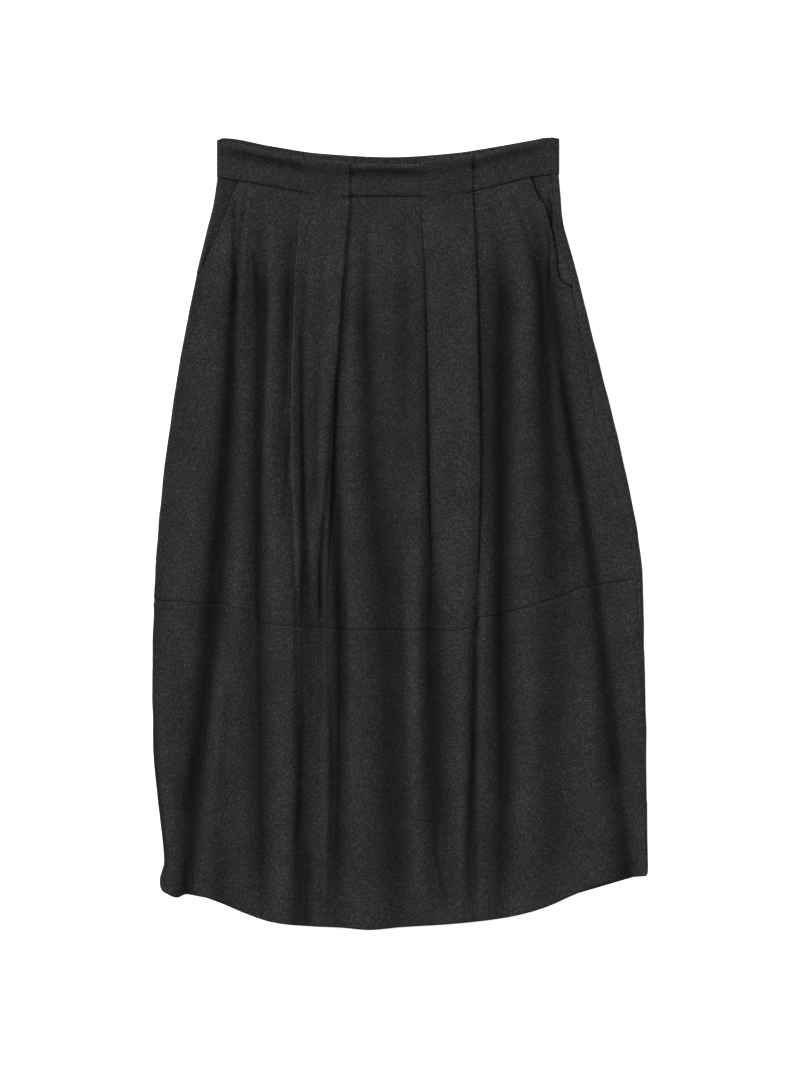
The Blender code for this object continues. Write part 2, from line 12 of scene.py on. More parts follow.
import bpy
import numpy as np
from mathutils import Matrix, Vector

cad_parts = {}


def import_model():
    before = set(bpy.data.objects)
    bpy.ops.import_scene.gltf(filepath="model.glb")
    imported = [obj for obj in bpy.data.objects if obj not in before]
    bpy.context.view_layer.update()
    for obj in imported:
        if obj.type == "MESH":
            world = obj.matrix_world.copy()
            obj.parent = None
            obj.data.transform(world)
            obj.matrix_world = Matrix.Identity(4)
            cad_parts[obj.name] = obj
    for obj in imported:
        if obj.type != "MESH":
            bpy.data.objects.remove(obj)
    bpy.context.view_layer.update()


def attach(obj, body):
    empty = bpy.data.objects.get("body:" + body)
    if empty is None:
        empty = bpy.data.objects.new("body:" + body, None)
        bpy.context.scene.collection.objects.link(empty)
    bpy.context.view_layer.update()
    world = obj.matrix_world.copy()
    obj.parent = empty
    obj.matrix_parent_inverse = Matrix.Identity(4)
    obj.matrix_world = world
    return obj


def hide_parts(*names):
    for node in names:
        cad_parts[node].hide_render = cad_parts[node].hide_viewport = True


MM = 0.001  # in metres

# ---- Cloth ----
CLOTH = 1.5  # the panels' thickness in the solids
SHELL = 1.1  # the thickness drawn, for bends tighter than the solids have
BAND = 2.4  # the waistband's thickness
GAP = 0.12  # between two pieces along a seam
BACK_Z, BAND_BACK_Z, BAND_FRONT_Z = CLOTH / 2, BAND / 2, 6.0  # heights of the layers' middles

# Turned edges: the usual and the least radius of a turn, the share of the room between two layers that
# a turn may take, how far in under the edge the layers lie when the turn is as low as it can be, and
# where the cloth leaves the lower layer
TURN, LEAST_TURN, TURN_ROOM, FULL_UNDER = 1.15, 0.56, 0.96, 5
FOOT, FOOT_RISE = 2.6, 0.25

# Folds between turned edges: under 1 makes the troughs narrower than the ridges
TROUGH_SHAPE = 0.66

# Folds that have opened out are evened out over this reach, but not near the ends of the cloth between
# two turned edges, nor near an edge that is still turned under. An edge counts as opened from the first
# of OPENED on, and fully once that much further
SOFT_REACH, SOFT_STEP, SOFT_TAPS, SOFT_END, SOFT_EDGE = 1.8, 0.4, 15, 4, 5
OPENED = (0.3, 1.5)

# Side edges: how much of the front's cloth goes round each, and how far it is laid round past a seam
SIDE_WRAP, LEAST_WRAP = 4.8, 1.6

# Pleats that run up over the waistband: how far their tabs rise on the way up and stand over the rim,
# how far the front band's sections run in under them, and how high the back's tabs rise, over the first
# part of their height
TAB_RISE, TAB_OVER, BAND_UNDERLAP = 0.15, 1.0, 5.0
BACK_TAB_RISE, BACK_TAB_SLOPE = 0.8, 3
BACK_PLEATS = ((-101.5, -46.0), (17.0, 73.0))

# The back's hem lies this much higher up the skirt than the front's, in from the sides, and its relief
# grows over this height from this height on
BACK_HEM_LIFT, BACK_HEM_FADE, TURNED_UP = 2.0, 25.0, 2

# ---- Outline and seams, as points (x, y) ----
BACK_RIM = ((-191, 413), (-186, 415), (-135, 406.5), (-85, 399), (-10, 395), (54, 399), (104, 406.5),
            (140, 413), (155, 415.5), (166, 414))
FRONT_RIM = ((-191, 411.5), (-175, 409.5), (-137, 401), (-97, 393), (-48, 388), (17, 387), (46, 392.5),
             (76, 396.5), (104, 403), (138, 411), (166, 413.5))
WAIST_SEAM = ((-191, 373.5), (-147, 365.5), (-102, 357.5), (-50, 353), (26, 353), (76, 358.5),
              (108, 366), (141, 374), (166, 377))
KNEE_SEAM = ((-257, -70), (-202, -73), (-154, -82), (-142, -94), (-104, -97.5), (-37, -101),
             (54, -101.5), (73, -99), (86, -87.5), (96, -86.5), (115, -82), (166, -67), (189, -58),
             (256, -46))
BACK_KNEE_SEAM = ((-257, -73), (-150, -86), (0, -92), (150, -72), (256, -49))
HEM = ((-254, -371), (-246, -377), (-234, -382), (-224, -378.5), (-211, -380), (-186, -388.5),
       (-161, -399), (-135, -407.5), (-110, -411), (-60, -413.5), (-33, -415.7), (1, -413), (54, -409.5),
       (104, -404), (129, -399), (154, -391.5), (180, -380), (205, -369.5), (230, -362), (259, -359))

# The side edges: where they lie, how far in from the right one its seam runs, and how round both are
Side = namedtuple("Side", "level left right right_seam radius")
SIDES = (
    Side(0.00, -191.0, 166.0, 8.0, 2.625),
    Side(0.06, -195.0, 168.0, 7.0, 2.7),
    Side(0.12, -201.5, 170.5, 6.0, 2.8),
    Side(0.20, -210.0, 180.0, 6.0, 3.0),
    Side(0.30, -219.5, 191.0, 9.0, 3.2),
    Side(0.45, -232.0, 207.0, 12.0, 3.5),
    Side(0.60, -242.0, 223.0, 17.0, 3.8),
    Side(0.75, -250.0, 237.5, 13.0, 4.0),
    Side(0.90, -255.5, 250.0, 8.0, 4.0),
    Side(1.00, -257.5, 254.0, 6.0, 4.0),
    Side(1.20, -259.5, 255.5, 4.0, 3.8),
    Side(1.50, -258.5, 257.5, 1.0, 3.4),
    Side(1.75, -251.5, 258.5, 0.0, 2.8),
    Side(1.90, -247.0, 259.0, 0.0, 2.6),
    Side(1.97, -252.0, 259.5, 0.0, 2.6),
    Side(2.00, -250.5, 259.0, 0.0, 2.6),
)

# ---- Pockets ----
# Their mouths, as (level, how far in from the side the front's edge lies), and the level where they end
LEFT_MOUTH = ((0, 22), (0.05, 15.5), (0.12, 11.5), (0.165, 7.5), (0.2, 4.5), (0.222, 1.5), (0.23, 0))
RIGHT_MOUTH = ((0, 29), (0.05, 22), (0.075, 16), (0.14, 12.5), (0.2, 16), (0.235, 19), (0.252, 18.5),
               (0.262, 16), (0.268, 13), (0.273, 8))
LEFT_MOUTH_END, RIGHT_MOUTH_END = 0.26, 0.3

# The facings: how far they lie under the front at the mouth, how far before the mouth's edge and past
# the side's roll they reach that, the height of their inner edges, how far these lie in past the mouth,
# the gap to the waist seam, and the levels where they end
LEFT_FACING_DROP, RIGHT_FACING_DROP = 1.5, 2.3
DROP_BEFORE, DROP_PAST = 0.5, 0.8
FACING_Z, FACING_UNDERLAP, FACING_TOP_GAP = 2.6, 9.0, 0.9
LEFT_FACING_END, RIGHT_FACING_END = 0.225, 0.274

# The right facing lies closer under the front near the mouth's ends: the least share of its drop, and
# how fast it grows with the level from the upper and from the lower end
END_DROP, UPPER_DROP_RATE, LOWER_DROP_RATE = 0.66, 5, 20

# Shade painted into the facings' colour: the most by level 0, how fast that falls, and its bounds
FACING_PAINTED_SHADE, FACING_PAINTED_SHADE_BOUNDS = 0.75, (0.15, 0.6)
LEFT_PAINTED_SHADE_LEVELS, RIGHT_PAINTED_SHADE_LEVELS = 0.12, 0.35

# ---- The front's folds, at the waist, hip, thigh, knee, calf and hem ----
# A wave is a ridge or a trough, at x and at the height z. At an edge the cloth doubles back: x is where
# the higher layer ends, low and high are the heights on its two sides, and under is how far the cloth
# goes in under it, less than 0 where the fold has opened out. Past the waist, nearly all the places and
# heights come from a least-squares fit of these folds to the photo's brightness. Some at the pleats were
# changed after it
FOLD_LEVELS = (0, 0.26, 0.6, 1, 1.45, 2)
Wave = namedtuple("Wave", "name x z")
Edge = namedtuple("Edge", "name high_side x low high under")
FOLDS = (
    Wave("flank", (-160.5, -187.9, -201, -225.1, -242.7, -238.4), (6.2, 9.3, 10.6, 12.4, 12.9, 5.5)),
    Wave("flank trough", (-158.5, -171.5, -178.5, -192.1, -205.2, -222.4), (6.1, 3.6, 2.6, 2.6, 2.6, 2.6)),
    Wave("hip ridge", (-156.5, -163.4, -167.4, -175, -190.7, -208.7), (6.2, 8.3, 7.7, 8, 9.3, 6.3)),
    Wave("hip dip", (-154.5, -159.4, -163.4, -169.2, -181.6, -190.9), (6.2, 7.1, 9.1, 9.1, 7.1, 4.6)),
    Wave("hip crest", (-152.5, -155.1, -156.5, -159.6, -168.6, -166.8), (6.2, 7.6, 8, 8, 7.8, 5.3)),
    Edge("tuck", "left", (-150, -145.8, -149.9, -151.7, -149.7, -148.8),
         (6, 5.8, 5, 5, 4.9, 5.2), (6.2, 6.1, 5.7, 6.7, 5.9, 5.7), (-6, -5, -4, -4, -4, -4)),
    Wave("tuck ridge", (-132, -131.9, -136.1, -124.4, -120.9, -124.9), (6.3, 11.8, 11.7, 13, 12.5, 6.1)),
    Wave("pleat trough", (-110, -116.8, -119.7, -112.1, -111.2, -114.2), (6, 6.1, 8.1, 13, 11.8, 5)),
    Edge("left pleat outer", "right", (-103, -110.4, -112.7, -101.6, -99.7, -102.6),
         (6, 6.9, 8.1, 10, 7, 4.4), (8.4, 10.7, 12.5, 10.3, 7.3, 4.9), (20, 6, 1, -5, -6, -6)),
    Wave("pleat crease ridge", (-98, -106.4, -108.7, -97.6, -95.7, -98.6), (8.4, 10, 10.9, 7.5, 6.1, 3.9)),
    Wave("pleat crease", (-89, -98.5, -100.5, -93.6, -91.7, -94.6), (8.4, 8.1, 6.3, 5.2, 6, 4.9)),
    Wave("pleat face", (-81, -91.8, -94.3, -89.6, -87.7, -90.6), (8.4, 10.4, 8.7, 6, 7.9, 5.5)),
    Wave("pleat face dip", (-74.5, -81.7, -86.1, -85.6, -83.7, -86.6), (8.4, 10.1, 7.6, 7.1, 8.4, 6.3)),
    Wave("pleat flap", (-64, -72.1, -79.6, -81.6, -79.7, -82.6), (8.4, 11.5, 12.1, 6.4, 9.7, 5.4)),
    Edge("left pleat inner", "left", (-53.5, -63.7, -72.6, -77.6, -75.7, -78.6),
         (6, 8.6, 6, 8.4, 6.3, 5.5), (8.4, 11.8, 10.4, 8.7, 10.1, 6), (20, 12, 8, -2, -5, -5)),
    Wave("flap trough", (-49, -55.1, -63.3, -62.1, -63.1, -67.4), (6, 8.2, 7.8, 4.5, 4.3, 5.6)),
    Wave("flap ridge", (-42, -47.5, -52.2, -46.4, -44.1, -41.3), (6.2, 11.1, 13, 13, 12.8, 6.3)),
    Wave("centre trough", (-31.5, -34.6, -29.6, -13.9, -8.8, -3.4), (6, 6.5, 7.4, 6.1, 5.4, 5)),
    Wave("centre swell", (-13.5, -19.1, -8.5, 2.5, 4.8, 8.4), (6.2, 9.9, 9, 6.9, 7.1, 5.3)),
    Wave("centre dip", (6, 6.3, 7.6, 9.4, 10.5, 14.1), (6, 6, 8.7, 10.8, 9.7, 5.4)),
    Wave("centre ridge", (15, 18.1, 20.8, 16.3, 16.8, 21.1), (6.2, 9.9, 10.8, 12.9, 12.3, 5.5)),
    Edge("right pleat inner", "right", (24, 29.3, 32.2, 35.4, 39.2, 41.2),
         (6, 8.6, 7.8, 5.9, 6.3, 5.8), (8.4, 11.6, 11.6, 6.2, 6.6, 6.3), (20, 10, 4, -3, -6, -6)),
    Wave("right pleat crest", (39, 38.9, 42.6, 56.1, 61, 59.9), (8.4, 11.8, 12.8, 12, 11.5, 5.5)),
    Wave("right pleat dip", (50, 55.5, 53.4, 62.6, 65, 63.9), (8.3, 12, 13, 13, 12.5, 6.2)),
    Wave("right pleat face", (64, 71.1, 70.3, 69.6, 69.8, 67.9), (8.4, 12, 13, 13, 11, 5.4)),
    Edge("right pleat outer", "left", (75, 80, 82.2, 79, 75.2, 74),
         (6, 8.6, 8.6, 8.2, 6.5, 5.5), (8.4, 11.6, 12, 9.4, 7.7, 6), (20, 10, 5, -2, -3, -4)),
    Wave("rib", (87, 94.4, 93.6, 87.8, 86.1, 85.3), (6.2, 8.8, 8.8, 11.7, 10.8, 6.3)),
    Wave("deep trough", (98, 110.8, 109.7, 107.1, 110.4, 103.6), (6, 4.2, 2.6, 2.6, 3.7, 5.3)),
    Wave("thigh ridge", (112, 133.9, 130.8, 134.7, 136.1, 127.6), (6.3, 11.6, 13, 13, 13, 6.2)),
    Wave("thigh trough", (118, 148, 158.7, 163.8, 159.7, 161.9), (6.1, 3.8, 4.5, 7.9, 8.6, 5.4)),
    Wave("side swell", (122, 154, 169.3, 190.3, 200, 209), (6.2, 6, 7.5, 6.3, 8.2, 6.2)),
    Wave("side trough", (125, 159, 177.9, 205.6, 219.6, 239), (6.1, 4.6, 2.6, 2.6, 2.6, 3.2)),
    Wave("side ridge", (128, 164.5, 197.2, 221.1, 237.8, 247), (6.2, 6.6, 7.6, 7, 6.5, 5)),
)

# ---- The waistband, from the waist seam up to the rim, as (share of its height, rise or painted shade) ----
BAND_ROLL = ((0, -0.9), (0.03, -0.15), (0.1, 0.5), (0.28, 0.6), (0.45, 0), (0.58, -0.9), (0.67, -1.8),
             (0.73, -1.8), (0.81, 0), (0.89, 1.3), (0.95, 1.1), (1, -0.9))
BAND_PAINTED_SHADE = ((0, 0.75), (0.06, 0.25), (0.25, 0.1), (0.42, 0.18), (0.56, 0.42), (0.67, 0.8),
              (0.78, 0.75), (0.86, 0.2), (0.9, 0), (1, 0.1))
TAB_ROLL = ((0, 0), (0.3, 0.2), (0.5, -0.3), (0.68, -1.2), (0.76, -1.1), (0.86, 0.2), (0.93, 0.6),
            (1, -0.5))
TAB_PAINTED_SHADE = ((0, 0), (0.15, 0.08), (0.4, 0.18), (0.6, 0.42), (0.72, 0.5), (0.82, 0.12), (0.9, 0), (1, 0))
BAND_STRENGTH = ((-186, 0.3), (-160, 1), (76, 1), (90, 0.6), (135, 0.6), (160, 0.1))  # by x
BAND_FADE = 13  # the roll fades out over this distance from the ends of a section
BAND_RUMPLE, FACING_RUMPLE = 0.6, 0.4  # beside the panels'

# ---- Fineness of the cloth ----
# Stretches across a wave, round half a turned edge, and round a side edge
WAVE_STEPS, ARC_STEPS, EDGE_STEPS = 7, 5, 8
# The levels of the panels' rows, which are closer above the foot of the pockets and beside the seams
UPPER_ROWS = [i / 200 for i in range(60)] + [0.3 + i / 100 for i in range(70)] + [0.9935, 0.997, 1]
LOWER_ROWS = [1, 1.004, 1.008] + [1.014 + i / 88 for i in range(86)] + [1.988, 1.994, 2]
TAB_ROWS, BACK_TAB_ROWS, BAND_ROWS, FACING_ROWS = 24, 8, 32, 40
BAND_STEPS, BACK_BAND_STEPS, BACK_STEPS = 48, 32, 67
FACING_SIDE_STEPS, FACING_STEPS = 8, 24
BACK_COLUMNS = np.unique([*np.linspace(-180, 156, BACK_STEPS + 1), *np.ravel(BACK_PLEATS)])


# ---- Curves ----


def curve(points, level_ends=False):
    """A smooth function through points (x, y) in order of x, which never swings past them."""
    xs, ys = (np.array(values, float) for values in zip(*points))
    rise = np.diff(ys) / np.diff(xs)
    rates = np.concatenate([rise[:1], np.zeros(len(rise) - 1), rise[-1:]])
    same = rise[:-1] * rise[1:] > 0
    rates[1:-1][same] = (2 * rise[:-1] * rise[1:])[same] / (rise[:-1] + rise[1:])[same]
    if level_ends:
        rates[0] = rates[-1] = 0

    def at(x):
        i = np.clip(np.searchsorted(xs, x, "right") - 1, 0, len(xs) - 2)
        width = xs[i + 1] - xs[i]
        t = np.clip((x - xs[i]) / width, 0, 1)
        return (
            ys[i] * (1 + 2 * t) * (1 - t) ** 2
            + ys[i + 1] * t * t * (3 - 2 * t)
            + width * t * (1 - t) * (rates[i] * (1 - t) - rates[i + 1] * t)
        )

    return at


def mix(a, b, share):
    """From a at share 0 to b at share 1."""
    return a + (b - a) * share


back_rim, front_rim, waist_seam = curve(BACK_RIM), curve(FRONT_RIM), curve(WAIST_SEAM)
knee_seam, back_knee_seam, hem = curve(KNEE_SEAM), curve(BACK_KNEE_SEAM), curve(HEM)
left_out = curve([(side.level, side.left) for side in SIDES])
right_out = curve([(side.level, side.right) for side in SIDES])
right_seam_in = curve([(side.level, side.right_seam) for side in SIDES])
side_radius = curve([(side.level, side.radius) for side in SIDES])
left_mouth, right_mouth = curve(LEFT_MOUTH), curve(RIGHT_MOUTH)
band_roll, tab_roll = curve(BAND_ROLL), curve(TAB_ROLL)
band_painted_shade, tab_painted_shade = curve(BAND_PAINTED_SHADE), curve(TAB_PAINTED_SHADE)
FOLD_CURVES = [
    type(fold)(*(curve(tuple(zip(FOLD_LEVELS, v))) if isinstance(v, tuple) else v for v in fold))
    for fold in FOLDS
]
EDGE_CURVES = {fold.name: fold for fold in FOLD_CURVES if isinstance(fold, Edge)}


# ---- Sections across the skirt ----


def rolled_edge(along, radius, base):
    """The cloth rolled round a side edge, at a way along it from the outermost point: up and in over the
    front where that is more than 0, and in under the back where it is less. Gives how far in, and z."""
    quarter = math.pi * radius / 2
    turn = min(abs(along), quarter) / radius
    inset = radius * (1 - math.cos(turn)) + max(abs(along) - quarter, 0)
    return inset, base + radius + math.copysign(radius * math.sin(turn), along)


def way_to(inset, radius):
    """The way along a rolled edge at which it is so far in."""
    if inset < radius:
        return radius * math.acos(1 - inset / radius)
    return math.pi * radius / 2 + inset - radius


def evened(points, share):
    """The same points, moved towards even spacing by this share."""
    points = np.array(points, float)
    way = np.concatenate([[0], np.cumsum(np.hypot(*np.diff(points, axis=0).T))])
    even = np.linspace(0, way[-1], len(points))
    return mix(points, np.stack([np.interp(even, way, values) for values in points.T], 1), share)


def doubled_edge(x, low, high, under):
    """The cloth round an edge whose high side is on the right, from its low end to its high end: a turn
    on the low side, the layer between, and a turn on the high side."""
    rise = high - low
    least = 4 * rise * LEAST_TURN - rise**2
    if under * abs(under) < least:
        under = min(under, -math.sqrt(max(least, 0)))
    radius = min(TURN, TURN_ROOM * (under**2 + rise**2) / (4 * rise))
    lowest = max(min(radius, rise / 4), LEAST_TURN)
    radius = mix(radius, lowest, min(max(under / FULL_UNDER, 0), 1))
    across, up = -under, rise - 2 * radius
    between = math.hypot(across, up)
    heading = math.atan2(up, across) + math.asin(min(2 * radius / between, 1))
    turns = [heading * i / ARC_STEPS for i in range(ARC_STEPS + 1)]
    foot = (x + min(under, 0) - FOOT, low + FOOT_RISE)
    lower = [foot] + [(x + under + radius * math.sin(a), low + radius * (1 - math.cos(a))) for a in turns]
    upper = [(x - radius * math.sin(a), high - radius * (1 - math.cos(a))) for a in reversed(turns)]
    middle = [(mix(lower[-1][0], upper[0][0], t), mix(lower[-1][1], upper[0][1], t)) for t in (0.33, 0.67)]
    return [tuple(p) for p in evened(lower + middle + upper, min(max(-under / 2, 0), 1))]


def edge_points(edge, level):
    """The cloth round one of the front's turned edges at a level, from left to right."""
    x, low, high, under = (float(values(level)) for values in edge[2:])
    if edge.high_side == "right":
        return doubled_edge(x, low, high, under)
    return [(-px, pz) for px, pz in reversed(doubled_edge(-x, low, high, under))]


def front_edge(level, right):
    """The front's cloth at one side, from its seam or its pocket's mouth inward."""
    radius = float(side_radius(level))
    if right:
        inset = max(right_seam_in(level), right_mouth(level) if level < RIGHT_MOUTH_END else 0)
    else:
        inset = left_mouth(level) if level < LEFT_MOUTH_END else 0
    start = way_to(inset, radius) + GAP / 2
    ways = [start + SIDE_WRAP * i / EDGE_STEPS for i in range(EDGE_STEPS + 1)]
    points = [rolled_edge(way, radius, BACK_Z) for way in ways]
    if right:
        return [(right_out(level) - inward, z) for inward, z in points]
    return [(left_out(level) + inward, z) for inward, z in points]


def front_section(level):
    """The front's cloth at a level from left to right, as stretches (name, points)."""
    stretches = []
    start = front_edge(level, right=False)
    knots = [start[-1]]
    for fold in FOLD_CURVES:
        if isinstance(fold, Wave):
            knots.append((float(fold.x(level)), float(fold.z(level))))
            continue
        turned = edge_points(fold, level)
        stretches.append(("run", run(knots + [turned[0]])))
        stretches.append((fold.name, turned))
        knots = [turned[-1]]
    end = front_edge(level, right=True)
    stretches.append(("run", run(knots + [end[-1]])))
    return [("left edge", start), *stretches, ("right edge", end[::-1])]


def run(knots):
    """The cloth between its turned edges: ridges and narrower troughs, with soft shoulders."""
    xs, zs = (np.array(values, float) for values in zip(*knots))
    smooth = curve(knots, level_ends=True)
    points = []
    for i in range(len(xs) - 1):
        t = np.arange(WAVE_STEPS) / WAVE_STEPS
        x = mix(xs[i], xs[i + 1], t)
        z = smooth(x)
        turns = [k in (0, len(xs) - 1) or (zs[k] - zs[k - 1]) * (zs[k + 1] - zs[k]) <= 0 for k in (i, i + 1)]
        if all(turns):
            s = t**TROUGH_SHAPE if zs[i] < zs[i + 1] else 1 - (1 - t) ** TROUGH_SHAPE
            z = mix(zs[i], zs[i + 1], s * s * (3 - 2 * s))
        points += list(zip(x, z))
    return [*points, (xs[-1], zs[-1])]


def joined(stretches):
    """The points of the stretches, each of which starts where the last one ends."""
    return [stretches[0][1][0]] + [p for _, points in stretches for p in points[1:]]


def softened(points, edges):
    """The same points with their heights evened out a little. Both ends stay, as do the edges, given as
    (x, the share by which it is still turned under)."""
    x, z = np.array(points, float).T
    grid = np.arange(x[0], x[-1] + SOFT_STEP, SOFT_STEP)
    near = np.exp(-((np.arange(-SOFT_TAPS, SOFT_TAPS + 1) * SOFT_STEP / SOFT_REACH) ** 2))
    smooth = np.convolve(np.pad(np.interp(grid, x, z), SOFT_TAPS, "edge"), near / near.sum(), "valid")
    share = np.clip(np.minimum(x - x[0], x[-1] - x) / SOFT_END, 0, 1)
    for edge_x, turned in edges:
        share *= 1 - turned * np.exp(-(((x - edge_x) / SOFT_EDGE) ** 2))
    return list(zip(x, mix(z, np.interp(x, grid, smooth), share)))


def front_points(level):
    """The front's cloth at a level, with its opened folds evened out."""
    (_, done), *stretches = front_section(level)
    soft, edges = [done[-1]], []
    for name, points in stretches:
        edge = EDGE_CURVES.get(name)
        opened = float(np.clip((-edge.under(level) - OPENED[0]) / OPENED[1], 0, 1)) if edge else 0
        if name == "run" or opened > 0:
            soft += points[1:]
            edges += [(float(edge.x(level)), 1 - opened)] if edge else []
        else:
            done += softened(soft, edges)[1:] + points[1:]
            soft, edges = [done[-1]], []
    return done


def back_section(level):
    """The back's cloth at a level, from round the left edge to the seam past the right edge."""
    radius = float(side_radius(level))
    quarter = math.pi * radius / 2
    left, right = float(left_out(level)), float(right_out(level))
    steps = [i / EDGE_STEPS for i in range(EDGE_STEPS + 1)]
    points = [(left + inset, z) for inset, z in
              (rolled_edge(-mix(GAP / 2, quarter, s), radius, BACK_Z) for s in steps)]
    points += [(x, BACK_Z) for x in BACK_COLUMNS]
    seam = way_to(right_seam_in(level), radius) - GAP / 2
    ways = [-quarter * (1 - s) for s in steps] + [mix(0, seam, s) for s in steps[1:]]
    return points + [(right - inset, z) for inset, z in (rolled_edge(w, radius, BACK_Z) for w in ways)]


# ---- Cloth meshes ----


def panel(section, levels, top, bottom, first, last):
    """A panel's middle surface as an array of rows of points (x, y, z)."""
    tops = np.array([top(x) for x, _ in section(first)]) - GAP / 2
    bottoms = np.array([bottom(x) for x, _ in section(last)]) + GAP / 2
    rows = []
    for level in levels:
        xz = np.array(section(level), float)
        rows.append(np.stack([xz[:, 0], mix(tops, bottoms, (level - first) / (last - first)), xz[:, 1]], 1))
    return np.array(rows)


def out_of(rows):
    """The direction out of the cloth at each point, square to its row."""
    step = np.diff(rows[:, :, [0, 2]], axis=1)
    step /= np.maximum(np.linalg.norm(step, axis=2, keepdims=True), 1e-9)
    along = np.concatenate([step[:, :1], step[:, :-1] + step[:, 1:], step[:, -1:]], axis=1)
    along /= np.maximum(np.linalg.norm(along, axis=2, keepdims=True), 1e-9)
    return np.stack([-along[:, :, 1], np.zeros(along.shape[:2]), along[:, :, 0]], 2)


def cloth(name, rows, thickness, looks, relief=None, kept=None, hollow=None):
    """A closed shell of this thickness round the rows' surface, with both its sides moved out by relief.
    kept says which cells are made, as an array of one less than the rows and columns. hollow is the
    shade painted into each point's colour for lying deep in a fold, from 0 to 1, and the wool's look reads
    it."""
    outward = out_of(rows)
    raised = outward * (0 if relief is None else relief[:, :, None])
    outer, inner = rows + outward * thickness / 2 + raised, rows - outward * thickness / 2 + raised
    height, width = rows.shape[:2]
    count = height * width
    number = np.arange(count).reshape(height, width)
    cells = np.ones((height - 1, width - 1), bool) if kept is None else kept
    corners = [number[:-1, :-1], number[1:, :-1], number[1:, 1:], number[:-1, 1:]]
    top = np.stack(corners, 2)[cells]
    starts, ends = top.ravel(), np.roll(top, -1, axis=1).ravel()
    cut = ~np.isin(starts * count + ends, ends * count + starts)  # with a cell on one side only
    starts, ends = starts[cut], ends[cut]
    rim = np.stack([ends, starts, starts + count, ends + count], 1)
    faces = np.concatenate([top, top[:, ::-1] + count, rim])
    points = np.concatenate([outer.reshape(-1, 3), inner.reshape(-1, 3)])
    used = np.unique(faces)
    place = np.full(len(points), -1)
    place[used] = np.arange(len(used))
    mesh = bpy.data.meshes.new(name)
    mesh.from_pydata(points[used] * MM, [], place[faces])
    # Painted shade, kept on each point for the wool's look to darken its colour by
    if hollow is not None:
        attribute = mesh.attributes.new("hollow", "FLOAT", "POINT")
        attribute.data.foreach_set("value", np.tile(hollow.ravel(), 2)[used].astype(np.float32))
    mesh.validate()
    mesh.update()
    mesh.shade_smooth()
    mesh.materials.append(looks)
    node = bpy.data.objects.new(name, mesh)
    bpy.context.scene.collection.objects.link(node)
    return node
